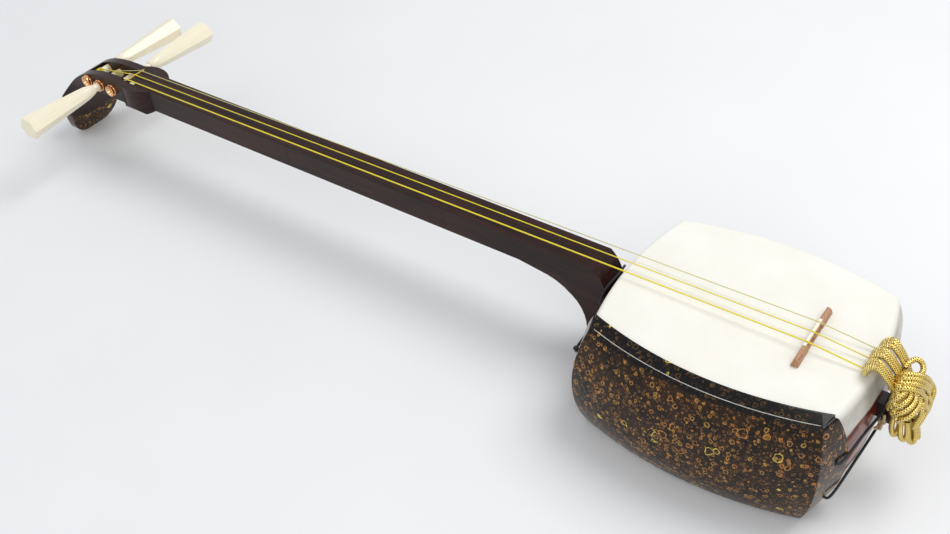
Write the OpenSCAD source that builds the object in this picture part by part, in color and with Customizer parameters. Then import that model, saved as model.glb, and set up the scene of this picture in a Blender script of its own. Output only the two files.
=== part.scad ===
// Three-stringed long-necked lute, lying on its back with the head end at -X.
// Frame: origin on the back skin's rest face under the middle of the body,
// +X towards the tail, +Y away from the arm-rest side, +Z out of the front skin.

/* [Body] */
// Half of the front skin's length, middle of head side to middle of tail side
body_half_len = 110.5; // [100:0.5:115]
// Half of the front skin's width, centre line to the middle of a long side
body_half_wid = 98.4; // [92:0.2:102]
// How far the long sides bow out between their corners
side_bow = 15.5; // [12:0.1:18]
// How far the head and tail sides bow out between their corners
end_bow = 11.5; // [8:0.1:13]
// Depth over both skins
body_depth = 109; // [100:1:112]
// Radius of the barrel curve down each side board
barrel_r = 135; // [130:1:170]
// Rounding of the body's edges, over the skin
edge_r = 5; // [4:0.5:8]
// Thickness of a side board at its edge
board_t = 13; // [10:0.5:16]
// Thickness of each skin
skin_t = 0.8; // [0.5:0.1:1.2]
// How far each skin is drawn down the sides
skin_wrap = 27; // [20:1:34]
// Chevrons carved along the inside of each side board
chevron_count = 7; // [4:1:9]

/* [Neck] */
// Playing length of the neck, nut to the end of the fingerboard
neck_len = 624; // [600:1:640]
// Height of the fingerboard above the rest plane
board_z = 106.4; // [100:0.2:108]
// Neck width at the nut
neck_w_nut = 31.2; // [28:0.2:33]
// Neck width at the fingerboard's end
neck_w_heel = 33.8; // [31:0.2:36]
// Neck thickness
neck_t = 32.6; // [29:0.2:34]
// Distance from the nut to the upper neck joint
upper_joint = 250; // [220:5:280]
// Distance from the upper neck joint to the lower one
joint_gap = 205; // [180:5:230]
// Wall of the gold sleeve that lines each neck joint
sleeve_t = 0.8; // [0.6:0.1:1.2]

/* [Head] */
// Half of the peg box's width over its cheeks
cheek_y = 20.5; // [19:0.5:22]
// Half of the slot between the cheeks
slot_y = 10.5; // [9:0.5:12]
// Distance between neighbouring pegs
peg_pitch = 21; // [20:0.5:22]
// Half of the swelling at the head's root
swell_y = 26.5; // [24:0.5:28]
// Half of the flared blade's widest part
blade_y = 38.5; // [34:0.5:42]
// Wall of the lacquered cap over the blade's end
cap_t = 2.4; // [1.5:0.1:3]

/* [Pegs] */
// Length of a peg's handle beyond its ring
handle_len = 95; // [80:1:104]
// Handle width over its corners, at the end
handle_w = 28; // [24:0.5:30]
// Handle width over its corners, next to the waist
handle_w0 = 17; // [14:0.5:19]
// Shaft radius inside the ring on the handle side
shaft_r = 4.6; // [4.2:0.1:5]
// Shaft radius inside the ring on the plain side
shaft_r2 = 4; // [3.6:0.1:4.2]
// Running clearance between a shaft and its rings
peg_clear = 0.05; // [0.02:0.01:0.1]

/* [Strings] */
// Diameter of the first string
string_1_d = 1.4; // [1.2:0.1:1.6]
// Diameter of the second string
string_2_d = 1.1; // [1:0.1:1.3]
// Diameter of the third string
string_3_d = 0.9; // [0.8:0.1:1]
// Sideways spacing of the strings at the nut
nut_pitch = 10.8; // [9:0.2:11.4]
// Sideways spacing of the strings at the bridge
bridge_pitch = 13.4; // [11:0.2:14]

/* [Bridge] */
// Place of the bridge along the body
bridge_x = 58.5; // [50:0.5:66]
// Length of the bridge's bamboo foot
bridge_len = 75; // [68:1:78]
// Height of the bridge to the saddle's top
bridge_h = 8; // [7.5:0.1:9]
// Length of the saddle
saddle_len = 36; // [34:1:38]

/* [Arm rest] */
// How far the arm rest's rim stands out from the skin's edge
rest_out = 7; // [6:0.5:8]
// How far the arm rest's end walls stand off the head and tail sides
rest_end = 2.2; // [2:0.1:4]
// How far the arm rest's flange reaches in over the skin from its edge
rest_flange = 9.5; // [8:0.5:12]
// Thickness of the arm rest's shell
rest_t = 3.2; // [2.6:0.1:3.4]
// Radius of the arm rest's curved front, top to bottom
rest_bow_r = 115; // [108:1:125]

/* [Hidden] */

wood = [0.2, 0.12, 0.11];
quince = [0.45, 0.14, 0.09];
ivory = [0.93, 0.9, 0.78];
skin = [0.95, 0.94, 0.89];
gold = [0.83, 0.66, 0.22];
copper = [0.8, 0.5, 0.33];
lacquer = [0.08, 0.07, 0.07];
silk = [0.9, 0.85, 0.25];
bamboo = [0.66, 0.5, 0.33];
cord = [0.07, 0.07, 0.08];
cotton = [0.8, 0.7, 0.5];
felt = [0.35, 0.08, 0.1];
fine = 180;

// Body outline: two long sides and two end sides, each an arc
corner_x = body_half_len - end_bow;
corner_y = body_half_wid - side_bow;
side_r = (corner_x * corner_x + side_bow * side_bow) / (2 * side_bow);
end_r = (corner_y * corner_y + end_bow * end_bow) / (2 * end_bow);
side_axis = body_half_wid - side_r;
end_axis = body_half_len - end_r;
mid_z = body_depth / 2;
// Arc of each board's inside that the chevrons cover, in degrees
side_span = 26;
end_span = 17;
// Direction of the mitre joints, halfway between the two arcs' normals
mitre = (atan2(corner_y, corner_x - end_axis) + atan2(corner_y - side_axis, corner_x)) / 2;
mitre_x = corner_x - corner_y / tan(mitre);

// Neck
nut_x = -140.2 - neck_len;
neck_end_x = -140.2;
neck_bottom = board_z - neck_t;
upper_x = nut_x + upper_joint;
lower_x = upper_x + joint_gap;
tenon_len = 38;
tenon_w = 17;
tenon_h = 16;
tenon_z = board_z - 16;

// Tang of the neck, through the body
tang_w = 20;
tang_low = 56;
tang_high = 80;
spike_w = 15;
spike_low = 60;
spike_high = 76;
spike_x = 139;

// Head
peg_z = board_z - 15;
peg_x = [nut_x - 23, nut_x - 23 - 2 * peg_pitch, nut_x - 23 - peg_pitch];
peg_side = [1, 1, -1];
// How much further out than the shortest each tapered peg sits in its cheeks
peg_out = [13, 0, 6];
// How far each peg's handle happens to be turned
peg_turn = [30, 12, 30];
ring_r = 6;
ring_lip = 7;

// Nut, strings and bridge
nut_h = 1.4;
nut_low_y = -10.6;
nut_high_y = 14;
// Sideways places of the strings: the first passes beside the nut
nut_row = [-12.6, 0.4 - nut_pitch / 10, nut_pitch - 1.2];
bridge_row = [-bridge_pitch, 0, bridge_pitch];
saddle_z = body_depth + bridge_h;
string_d = [string_1_d, string_2_d, string_3_d];
// Middle of each winding along its shaft
winding_y = [-6, -2, 4];

// Sawari: a small plate under the first string, lifted by a screw from behind
sawari_x = nut_x + 9.8;
sawari_y = -13.2;
sawari_gap = 0.05;
plate_long = 6.4;
plate_wide = 2.8;
plate_y = -13.6;

// Points on a cubic curve between a and d, steered by b and c
function bend(a, b, c, d, n = 8) =
  [for (i = [0:n]) let (t = i / n, s = 1 - t)
    s * s * s * a + 3 * s * s * t * b + 3 * s * t * t * c + t * t * t * d];
// The same points drawn towards a centre
function shrink(points, centre, k) = [for (p = points) centre + k * (p - centre)];

// Tube along a route, as one swept polyhedron
function unit(v) = v / norm(v);
function along(path, i) = let (n = len(path) - 1)
  unit(i == 0 ? path[1] - path[0] : i == n ? path[n] - path[n - 1]
       : unit(path[i + 1] - path[i]) + unit(path[i] - path[i - 1]));
function side_of(t) = unit(cross(t, abs(t[2]) > 0.9 ? [1, 0, 0] : [0, 0, 1]));
function carry(path, i) = i == 0 ? side_of(along(path, 0))
  : let (t = along(path, i), s = carry(path, i - 1)) unit(s - (s * t) * t);
module tube(path, r, sides = 8) {
  n = len(path);
  rings = [for (i = [0:n - 1]) let (t = along(path, i), u = carry(path, i), v = cross(t, u))
    for (k = [0:sides - 1]) path[i] + r * (cos(360 * k / sides) * u + sin(360 * k / sides) * v)];
  walls = [for (i = [0:n - 2]) for (k = [0:sides - 1])
    let (a = i * sides + k, b = i * sides + (k + 1) % sides) each
    [[a, b, b + sides], [a, b + sides, a + sides]]];
  polyhedron(rings, concat([[for (k = [0:sides - 1]) sides - 1 - k]], walls,
    [[for (k = [0:sides - 1]) (n - 1) * sides + k]]), convexity = 8);
}
// A route rounded between its hand-set points
function smooth(p, n = 3) = let (m = len(p) - 1) concat(
  [for (i = [0:m - 1]) for (j = [0:n - 1])
    let (t = j / n, a = p[max(i - 1, 0)], b = p[i], c = p[i + 1], d = p[min(i + 2, m)])
    0.5 * (2 * b + t * (c - a) + t * t * (2 * a - 5 * b + 4 * c - d)
           + t * t * t * (3 * b - a - 3 * c + d))], [p[m]]);

// Side board's section: barrel curve with rounded edges, grown outwards by g
module barrel_section(plan_r, g, z_grow, inner_r) {
  small = edge_r + g;
  big = barrel_r + g;
  lift = mid_z - edge_r;
  centre = plan_r - sqrt(pow(barrel_r - edge_r, 2) - lift * lift);
  touch_z = barrel_r * lift / (barrel_r - edge_r);
  translate([inner_r, -z_grow]) square([plan_r - inner_r, body_depth + 2 * z_grow]);
  for (z = [edge_r, body_depth - edge_r]) translate([plan_r, z]) circle(r = small, $fn = 64);
  intersection() {
    translate([centre, mid_z]) circle(r = big, $fn = 360);
    translate([plan_r - 1, mid_z - touch_z]) square([small + 20, 2 * touch_z]);
  }
}
// Barrel of a long side (or an end side) swung about its own upright axis
module side_barrel(g, z_grow = 0, inner_r = 120, out = 0) {
  half = atan(corner_x / (corner_y - side_axis)) + 12;
  translate([0, side_axis, 0]) rotate([0, 0, 90 - half])
    rotate_extrude(angle = 2 * half, $fn = fine) barrel_section(side_r + out, g, z_grow, inner_r);
}
module end_barrel(g, z_grow = 0, inner_r = 120, out = 0, spare = 12) {
  half = atan(corner_y / (corner_x - end_axis)) + spare;
  translate([end_axis, 0, 0]) rotate([0, 0, -half])
    rotate_extrude(angle = 2 * half, $fn = fine) barrel_section(end_r + out, g, z_grow, inner_r);
}
// Prisms between the mitre joints
module side_wedge(low = -10, high = 130) {
  reach = 190;
  translate([0, 0, low]) linear_extrude(high - low)
    polygon([[mitre_x, 0], [mitre_x + reach, reach * tan(mitre)],
             [-mitre_x - reach, reach * tan(mitre)], [-mitre_x, 0]]);
}
module end_wedge(low = -10, high = 130) {
  reach = 150;
  translate([0, 0, low]) linear_extrude(high - low)
    polygon([[mitre_x, 0], [mitre_x + reach, reach * tan(mitre)],
             [mitre_x + reach, -reach * tan(mitre)]]);
}

// One long board; its inner face carries carved chevrons
module side_board() {
  intersection() {
    side_barrel(-skin_t, -skin_t, side_r - board_t);
    side_wedge();
  }
}
module end_board() {
  intersection() {
    end_barrel(-skin_t, -skin_t, end_r - board_t);
    end_wedge();
  }
}
module chevrons(r, axis, span) {
  step = span / chevron_count;
  for (i = [0:chevron_count - 1], half = [-1, 1])
    translate([0, axis, 0]) rotate([0, 0, (i - (chevron_count - 1) / 2) * step])
      translate([0, r, mid_z + half * 22]) rotate([0, half * 38, 0]) rotate([45, 0, 0])
        cube([46, 2.4, 2.4], center = true);
}
module board_far() {
  color(quince)
    difference() {
      side_board();
      chevrons(side_r - board_t, side_axis, side_span);
    }
}
module board_near() {
  color(quince)
    mirror([0, 1, 0]) difference() {
      side_board();
      chevrons(side_r - board_t, side_axis, side_span);
    }
}
module board_tail() {
  color(quince)
    difference() {
      end_board();
      rotate([0, 0, -90]) chevrons(end_r - board_t, end_axis, end_span);
      translate([80, -spike_w / 2, spike_low]) cube([60, spike_w, spike_high - spike_low]);
    }
}
module board_head() {
  color(quince)
    difference() {
      mirror([1, 0, 0]) end_board();
      rotate([0, 0, 90]) chevrons(end_r - board_t, end_axis, end_span);
      translate([-140, -tang_w / 2, tang_low]) cube([60, tang_w, tang_high - tang_low]);
    }
}

// A skin: a plate over the frame, drawn down over the edges of all four boards
module skin_shell() {
  wrap_low = body_depth - skin_wrap;
  for (m = [0, 1]) {
    mirror([0, m, 0]) intersection() {
      difference() {
        side_barrel(0, 0, side_r - board_t - 4);
        side_barrel(-skin_t, -skin_t, side_r - board_t - 5);
      }
      side_wedge(wrap_low, 130);
    }
    mirror([m, 0, 0]) intersection() {
      difference() {
        end_barrel(0, 0, end_r - board_t - 4);
        end_barrel(-skin_t, -skin_t, end_r - board_t - 5);
      }
      end_wedge(wrap_low, 130);
    }
  }
  translate([0, 0, body_depth - skin_t]) linear_extrude(skin_t)
    polygon([[corner_x - 12, corner_y - 12], [-corner_x + 12, corner_y - 12],
             [-corner_x + 12, -corner_y + 12], [corner_x - 12, -corner_y + 12]]);
  for (m = [0, 1]) {
    mirror([0, m, 0]) intersection() {
      translate([0, side_axis, body_depth - skin_t])
        cylinder(r = side_r - board_t - 2, h = skin_t, $fn = fine);
      side_wedge();
    }
    mirror([m, 0, 0]) intersection() {
      translate([end_axis, 0, body_depth - skin_t])
        cylinder(r = end_r - board_t - 2, h = skin_t, $fn = fine);
      end_wedge();
    }
  }
}
module front_skin() {
  color(skin) skin_shell();
}
module back_skin() {
  color(skin) translate([0, 0, body_depth]) mirror([0, 0, 1]) skin_shell();
}

// Neck section: flat sides on a rounded back, cut from a tapered plan
back_r = 22;
flat_low = 14;
module neck_blank(x0, x1) {
  function half_at(x) = (neck_w_nut + (neck_w_heel - neck_w_nut) * (x - nut_x) / neck_len) / 2;
  intersection() {
    translate([0, 0, neck_bottom - 1]) linear_extrude(neck_t + 1)
      polygon([[x0, -half_at(x0)], [x1, -half_at(x1)], [x1, half_at(x1)], [x0, half_at(x0)]]);
    translate([x0, 0, 0]) rotate([90, 0, 90]) linear_extrude(x1 - x0) {
      translate([0, neck_bottom + back_r]) circle(r = back_r, $fn = 120);
      translate([-20, neck_bottom + flat_low]) square([40, 30]);
    }
  }
}
// Stepped tenon of a neck joint, pointing to +X from the joint plane
module tenon(x, grow = 0) {
  translate([x - 0.01, -tenon_w / 2 - grow, tenon_z - tenon_h / 2 - grow])
    cube([tenon_len * 0.6 + 0.01, tenon_w + 2 * grow, tenon_h + 2 * grow]);
  translate([x, -tenon_w / 4, tenon_z - tenon_h / 4])
    cube([tenon_len, tenon_w / 2, tenon_h / 2]);
}
module joint_sleeve(x) {
  color(gold)
    difference() {
      translate([x, -tenon_w / 2 - sleeve_t, tenon_z - tenon_h / 2 - sleeve_t])
        cube([tenon_len * 0.6, tenon_w + 2 * sleeve_t, tenon_h + 2 * sleeve_t]);
      translate([x - 1, -tenon_w / 2, tenon_z - tenon_h / 2])
        cube([tenon_len * 0.6 + 2, tenon_w, tenon_h]);
    }
}
module upper_joint_sleeve() { joint_sleeve(upper_x); }
module lower_joint_sleeve() { joint_sleeve(lower_x); }
module kami_zao() {
  color(wood)
    difference() {
      union() {
        neck_blank(nut_x, upper_x);
        tenon(upper_x);
      }
      nut_seat();
      sawari_pocket();
    }
}
module naka_zao() {
  color(wood)
    difference() {
      union() {
        neck_blank(upper_x, lower_x);
        tenon(lower_x);
      }
      tenon(upper_x, sleeve_t);
    }
}
// Heel: the neck deepens in one sweep to the body and its breast falls away in front
heel_x = -280;
heel = concat(
  [[heel_x, neck_bottom]],
  bend([-190, neck_bottom], [-160, neck_bottom - 2], [-146, 52], [-145, 30]),
  [[-118, 26], [-118, 70]],
  bend([-124, 70], [-126, 88], [-132, 100], [-140.2, board_z]),
  [[heel_x, board_z]]);
// Plan of the deep part: the rounded back squares up gradually
heel_plan = [[heel_x, -3], [-165, -neck_w_heel / 2], [-110, -neck_w_heel / 2],
             [-110, neck_w_heel / 2], [-165, neck_w_heel / 2], [heel_x, 3]];
module shimo_zao() {
  color(wood)
    difference() {
      union() {
        neck_blank(lower_x, -200);
        difference() {
          intersection() {
            translate([0, neck_w_heel / 2, 0]) rotate([90, 0, 0])
              linear_extrude(neck_w_heel) polygon(heel);
            union() {
              translate([-200, -neck_w_heel / 2, neck_bottom + flat_low])
                cube([90, neck_w_heel, 20]);
              translate([-200, 0, neck_bottom + back_r]) rotate([0, 90, 0])
                cylinder(r = back_r, h = 90, $fn = 120);
              translate([0, 0, 20]) linear_extrude(80) polygon(heel_plan);
            }
          }
          mirror([1, 0, 0]) end_barrel(0.1, 0, 100);
        }
        translate([-150, -tang_w / 2, tang_low]) cube([235, tang_w, tang_high - tang_low]);
        translate([84, -spike_w / 2, spike_low]) cube([spike_x - 84, spike_w, spike_high - spike_low]);
        translate([spike_x - 7, -spike_w / 2 - 1.5, spike_low - 1.5])
          cube([7, spike_w + 3, spike_high - spike_low + 3]);
      }
      tenon(lower_x, sleeve_t);
    }
}

// Head: peg box, hook and flared blade
hook_outer = concat(
  bend([nut_x - 21, board_z], [-815, board_z], [-838, 99], [-856, 85.5]),
  bend([-856, 85.5], [-874, 72], [-888, 54], [-891.5, 34]));
hook_tip = concat(
  bend([-891.5, 34], [-893, 20], [-890, 2], [-878, 0]),
  bend([-878, 0], [-868, 16], [-862, 42], [-850, 60]));
box_low = 79;
hook_inner = bend([-850, 60], [-842, 72], [-830, 78], [-812, box_low]);
hook_side = concat([[nut_x, board_z]], hook_outer, hook_tip, hook_inner, [[nut_x, box_low]]);
blade_edge = concat(
  [[cheek_y, 112], [cheek_y, 78]],
  bend([cheek_y, 78], [cheek_y + 1, 62], [blade_y - 4, 54], [blade_y, 39]),
  bend([blade_y, 39], [blade_y - 3, 24], [blade_y - 6, 6], [14, 0]));
blade_front = concat(blade_edge,
  [for (i = [len(blade_edge) - 1:-1:0]) [-blade_edge[i][0], blade_edge[i][1]]]);
module blade(k = 1) {
  intersection() {
    translate([0, 45, 0]) rotate([90, 0, 0]) linear_extrude(90)
      polygon(shrink(hook_side, [-877, 40], k));
    translate([-900, 0, 0]) rotate([90, 0, 90]) linear_extrude(150)
      polygon(shrink(blade_front, [0, 40], k));
    translate([-842.5, 0, -5]) cylinder(r = 50 - (1 - k) * 40, h = 120, $fn = fine);
  }
}
// Space the lacquered cap covers, with a rim that dips in the middle
module cap_zone() {
  difference() {
    translate([-900, -50, -5]) cube([49, 100, 55]);
    translate([-901, 0, 89.5]) rotate([0, 90, 0]) cylinder(r = 63.5, h = 60, $fn = fine);
  }
}
core_k = 1 - cap_t / 30;
module tenjin_cap() {
  color(lacquer)
    difference() {
      intersection() {
        blade();
        cap_zone();
      }
      blade(core_k);
    }
}
module swell(side) {
  plan_r = 36;
  intersection() {
    translate([nut_x + 14, -side * (plan_r - swell_y), 0]) cylinder(r = plan_r, h = 120, $fn = fine);
    translate([nut_x - 6, side > 0 ? 0 : -40, 0]) cube([48, 40, 120]);
    translate([nut_x + 16, 0, board_z + 21]) rotate([90, 0, 0])
      cylinder(r = 54, h = 90, center = true, $fn = fine);
    translate([-900, 0, 0]) rotate([90, 0, 90]) linear_extrude(300) {
      translate([0, board_z - 10]) circle(r = 30, $fn = 120);
    }
    translate([-900, -40, 40]) cube([300, 80, board_z - 40]);
  }
}
// Slopes that let the strings rise from the pegs to the nut, the first one over the near cheek
string_ramp = [[nut_x - 1.2, board_z + 1], [nut_x - 1.2, board_z - 0.6],
               [nut_x - 14, board_z - 7], [nut_x - 14, board_z + 1]];
cheek_ramp = [[nut_x - 1, board_z + 1], [nut_x - 1, board_z - 0.2],
              [nut_x - 9.5, board_z - 3.9], [nut_x - 9.5, board_z + 1]];
cheek_x = -826;
// Peg box block, its top in one curve with the hook
module cheeks() {
  intersection() {
    translate([0, cheek_y, 0]) rotate([90, 0, 0])
      linear_extrude(2 * cheek_y) polygon(hook_side);
    translate([cheek_x, -cheek_y, box_low]) cube([nut_x - cheek_x, 2 * cheek_y, 40]);
  }
}
module tenjin() {
  color(wood)
    difference() {
      union() {
        difference() {
          blade();
          cap_zone();
        }
        intersection() {
          blade(core_k);
          cap_zone();
        }
        cheeks();
        swell(1);
        swell(-1);
      }
      neck_blank(nut_x, nut_x + 60);
      translate([-839, -slot_y, 60]) cube([839 + nut_x - 4, 2 * slot_y, 60]);
      for (x = peg_x) translate([x, 30, peg_z]) rotate([90, 0, 0]) cylinder(r = ring_r, h = 60, $fn = 64);
      nut_seat();
      translate([0, slot_y, 0]) rotate([90, 0, 0]) linear_extrude(2 * slot_y) polygon(string_ramp);
      rotate([90, 0, 0]) linear_extrude(13.8) polygon(cheek_ramp);
      sawari_pocket();
    }
}

// Nut: a thin rail let into the wood
nut_deep = 1.5;
module nut_seat() {
  translate([nut_x - 1, nut_low_y, board_z - nut_deep]) cube([2.4, nut_high_y - nut_low_y, 5]);
}
module kamigoma() {
  color(gold)
    difference() {
      translate([nut_x - 1, nut_low_y, board_z - nut_deep])
        cube([2.4, nut_high_y - nut_low_y, nut_deep + nut_h]);
      for (i = [1, 2]) translate([nut_x - 2, nut_row[i], board_z + nut_h + 0.35])
        rotate([0, 90, 0]) cylinder(r = 0.75, h = 5, $fn = 24);
    }
}

// Sawari parts
module sawari_pocket() {
  room = 0.3;
  translate([sawari_x - plate_long / 2 - room, plate_y - plate_wide / 2 - room, board_z - 6])
    cube([plate_long + 2 * room, plate_wide + 2 * room, 8]);
  translate([sawari_x, sawari_y, neck_bottom - 4]) cylinder(r = 3, h = neck_t + 1, $fn = 48);
}
module sawari_plate() {
  color(ivory)
    translate([sawari_x - plate_long / 2, plate_y - plate_wide / 2, board_z - 3.6])
      cube([plate_long, plate_wide, 4.1]);
}
module sawari_screw() {
  color(gold) {
    translate([sawari_x, sawari_y, neck_bottom + 1])
      cylinder(r = 1.45, h = neck_t - 4.6 - sawari_gap, $fn = 32);
    translate([sawari_x, sawari_y, neck_bottom - 3.2]) cylinder(r = 2.7, h = 4.4, $fn = 48);
  }
}
module sawari_bush() {
  color(copper)
    translate([sawari_x, sawari_y, neck_bottom + 6]) difference() {
      cylinder(r = 3, h = 14, $fn = 48);
      translate([0, 0, -1]) cylinder(r = 1.5, h = 16, $fn = 32);
    }
}

// Rings in the cheeks: a lip outside, a plain barrel through the wood
module ring(side, bore) {
  rotate([side > 0 ? -90 : 90, 0, 0]) difference() {
    union() {
      translate([0, 0, slot_y]) cylinder(r = ring_r, h = cheek_y - slot_y + 0.01, $fn = 64);
      translate([0, 0, cheek_y]) cylinder(r = ring_lip, h = 1.2, $fn = 64);
      translate([0, 0, cheek_y]) cylinder(r = ring_r, h = 4.6, $fn = 64);
      translate([0, 0, cheek_y + 3.4]) cylinder(r = 6.6, h = 1.2, $fn = 64);
    }
    translate([0, 0, slot_y - 1]) cylinder(r = bore, h = cheek_y, $fn = 64);
    translate([0, 0, cheek_y + 2]) cylinder(r1 = bore, r2 = 5.6, h = 2.7, $fn = 64);
  }
}
module zagane(i) {
  color(copper)
    translate([peg_x[i], 0, peg_z]) {
      ring(peg_side[i], shaft_r + peg_clear);
      ring(-peg_side[i], shaft_r2 + peg_clear);
    }
}
module zagane_1() { zagane(0); }
module zagane_2() { zagane(1); }
module zagane_3() { zagane(2); }

// Peg: stepped shaft, round waist and a flared six-sided handle
module peg(i) {
  start = cheek_y + 5 + peg_out[i];
  color(ivory)
    translate([peg_x[i], 0, peg_z]) rotate([-90 * peg_side[i], 0, 0]) {
      translate([0, 0, -slot_y]) cylinder(r = shaft_r, h = slot_y + start + 1, $fn = 64);
      translate([0, 0, -cheek_y - 0.5]) cylinder(r = shaft_r2, h = cheek_y - slot_y + 0.6, $fn = 64);
      translate([0, 0, start]) cylinder(r1 = shaft_r + 0.8, r2 = handle_w0 / 2 - 1, h = 9, $fn = 64);
      rotate([0, 0, peg_turn[i]]) {
        translate([0, 0, start + 7])
          cylinder(r1 = handle_w0 / 2 - 0.6, r2 = handle_w / 2, h = handle_len - 8.2, $fn = 6);
        translate([0, 0, start + handle_len - 1.2])
          cylinder(r1 = handle_w / 2, r2 = handle_w / 2 - 1.2, h = 1.2, $fn = 6);
      }
    }
}
module peg_1() { peg(0); }
module peg_2() { peg(1); }
module peg_3() { peg(2); }

// String wound on the shaft, drawn as one sleeve
module winding(i) {
  color(silk)
    translate([peg_x[i], winding_y[i], peg_z]) rotate([90, 0, 0]) difference() {
      cylinder(r = shaft_r + string_d[i], h = 6, center = true, $fn = 64);
      cylinder(r = shaft_r, h = 8, center = true, $fn = 64);
    }
}
module winding_1() { winding(0); }
module winding_2() { winding(1); }
module winding_3() { winding(2); }

// Bridge: a low bamboo bar with an arch in the middle and a saddle over it
saddle_t = 1.25;
module koma_base() {
  foot = 0.2;
  bar_h = bridge_h - saddle_t - foot;
  color(bamboo)
    translate([bridge_x, 0, body_depth + foot]) difference() {
      rotate([90, 0, 0]) linear_extrude(bridge_len, center = true)
        polygon([[-3.2, 0], [3.6, 0], [1.5, bar_h], [-1.5, bar_h]]);
      for (s = [-1, 1]) translate([-5, s * 8 - 7, 1.6]) cube([10, 14, bridge_h - 4.8]);
      translate([-5, -15, -1]) cube([10, 30, 1.8]);
      for (s = [-1, 1]) translate([0, s * (bridge_len / 2 + 7), bridge_h + 3])
        rotate([0, 90, 0]) cylinder(r = 10, h = 12, center = true, $fn = 64);
    }
}
module koma_saddle() {
  color(ivory)
    translate([bridge_x, 0, body_depth + bridge_h - saddle_t]) difference() {
      translate([-1.2, -saddle_len / 2, 0]) cube([2.4, saddle_len, saddle_t]);
      for (i = [0:2]) translate([-2, bridge_row[i], saddle_t + string_d[i] / 2 - 0.4])
        rotate([0, 90, 0]) cylinder(r = string_d[i] / 2 + 0.12, h = 4, $fn = 24);
    }
}

// Strings: off the winding, over the nut and the bridge, to the tail loops
function string_route(i) =
  let (n = nut_row[i], b = bridge_row[i], r = string_d[i] / 2, low = body_depth + 2.2 + r,
       nut_z = board_z + nut_h - 0.28 + r, top = saddle_z - 0.28 + r)
  [[peg_x[i] + 1.5, winding_y[i], peg_z + shaft_r + string_d[i] + r + 0.1],
   [nut_x - 1.2, n, nut_z],
   [nut_x + 1.6, n, nut_z],
   [nut_x + 160, n + 0.19 * (b - n), nut_z + 0.19 * (top - nut_z)],
   [neck_end_x, n + 0.76 * (b - n), nut_z + 0.76 * (top - nut_z)],
   [bridge_x - 3, b, top - 0.1],
   [bridge_x, b, top],
   [bridge_x + 3, b, top - 0.32],
   [113, b, low]];
module string_1() { color(silk) tube(string_route(0), string_1_d / 2); }
module string_2() { color(silk) tube(string_route(1), string_2_d / 2); }
module string_3() { color(silk) tube(string_route(2), string_3_d / 2); }

// Arm rest: a flanged shell round the near side and both of its corners
flange_r = side_r - rest_flange;
crease_z = body_depth - 1.6;
crease_r = side_r + rest_out;
rest_low = 2;
// Height of the middle of the curved front
bow_z = mid_z - 3.5;
bow_centre = crease_r - sqrt(pow(rest_bow_r, 2) - pow(crease_z - bow_z, 2));
skin_gap = 0.4;
// Reach of the curved front at a height, its face set back by inset
function bow_at(z, inset) = bow_centre + sqrt(pow(rest_bow_r - inset, 2) - pow(z - bow_z, 2));
// The body's barrel section grown by g, as points from the bottom to the top; skip leaves out
// the points where its arcs meet, so that two such lines share no heights
function barrel_line(plan_r, g, corner_steps = 6, bow_steps = 18, skip = 0) =
  let (lift = mid_z - edge_r, touch = asin(lift / (barrel_r - edge_r)), small = edge_r + g,
       centre = plan_r - (barrel_r - edge_r) * cos(touch), swing = 90 - touch)
  concat([for (i = [skip:corner_steps - 1]) let (t = -90 + swing * i / corner_steps)
            [plan_r + small * cos(t), edge_r + small * sin(t)]],
         [for (i = [skip:bow_steps - skip]) let (t = touch * (2 * i / bow_steps - 1))
            [centre + (barrel_r + g) * cos(t), mid_z + (barrel_r + g) * sin(t)]],
         [for (i = [corner_steps - 1:-1:skip]) let (t = 90 - swing * i / corner_steps)
            [plan_r + small * cos(t), body_depth - edge_r + small * sin(t)]]);
module round_side() {
  half = atan(corner_x / (corner_y - side_axis)) + 12;
  translate([0, side_axis, 0]) rotate([0, 0, 90 - half])
    rotate_extrude(angle = 2 * half, $fn = fine) children();
}
// The end walls are short, so each follows the end side as a straight moulding
wall_turn = asin(86 / (end_r + 10));
module end_cut(plan_r, g) {
  translate([end_axis, 0, 0]) rotate([0, 0, wall_turn]) rotate([90, 0, 0])
    linear_extrude(300, center = true)
      polygon(concat([[40, -12], [plan_r, -12]], barrel_line(plan_r, g, 5, 15, 1),
                     [[plan_r, 122], [40, 122]]));
}
module between_ends(plan_r, g) {
  intersection() {
    children();
    end_cut(plan_r, g);
    mirror([1, 0, 0]) end_cut(plan_r, g);
  }
}
module rest_outer() {
  top_z = body_depth + rest_t;
  between_ends(end_r + rest_end, 0) round_side()
    polygon(concat([[flange_r, rest_low]],
      [for (i = [0:20]) let (z = rest_low + (crease_z - rest_low) * i / 20) [bow_at(z, 0), z]],
      [[flange_r + 1.5, top_z], [flange_r, top_z]]));
}
// Room for the body, and for the felt in front of it
module rest_hollow() {
  between_ends(end_r, skin_gap) round_side()
    polygon(concat([[flange_r - 5, -skin_gap]],
      [for (p = barrel_line(side_r, skin_gap))
        [p[1] > 10 && p[1] < 98 ? max(p[0], bow_at(p[1], rest_t)) : p[0], p[1]]],
      [[flange_r - 5, body_depth + skin_gap]]));
}
// Holes for the cords in the arm rest's end walls
hole_high = 69;
hole_low = 24;
hole_y = 79;
module cord_holes() {
  for (z = [hole_low, hole_high]) translate([-150, -hole_y, z])
    rotate([0, 90, 0]) cylinder(r = 1.8, h = 300, $fn = 32);
}
module dokake() {
  color(lacquer)
    mirror([0, 1, 0]) difference() {
      rest_outer();
      rest_hollow();
      mirror([0, 1, 0]) cord_holes();
    }
}
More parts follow.
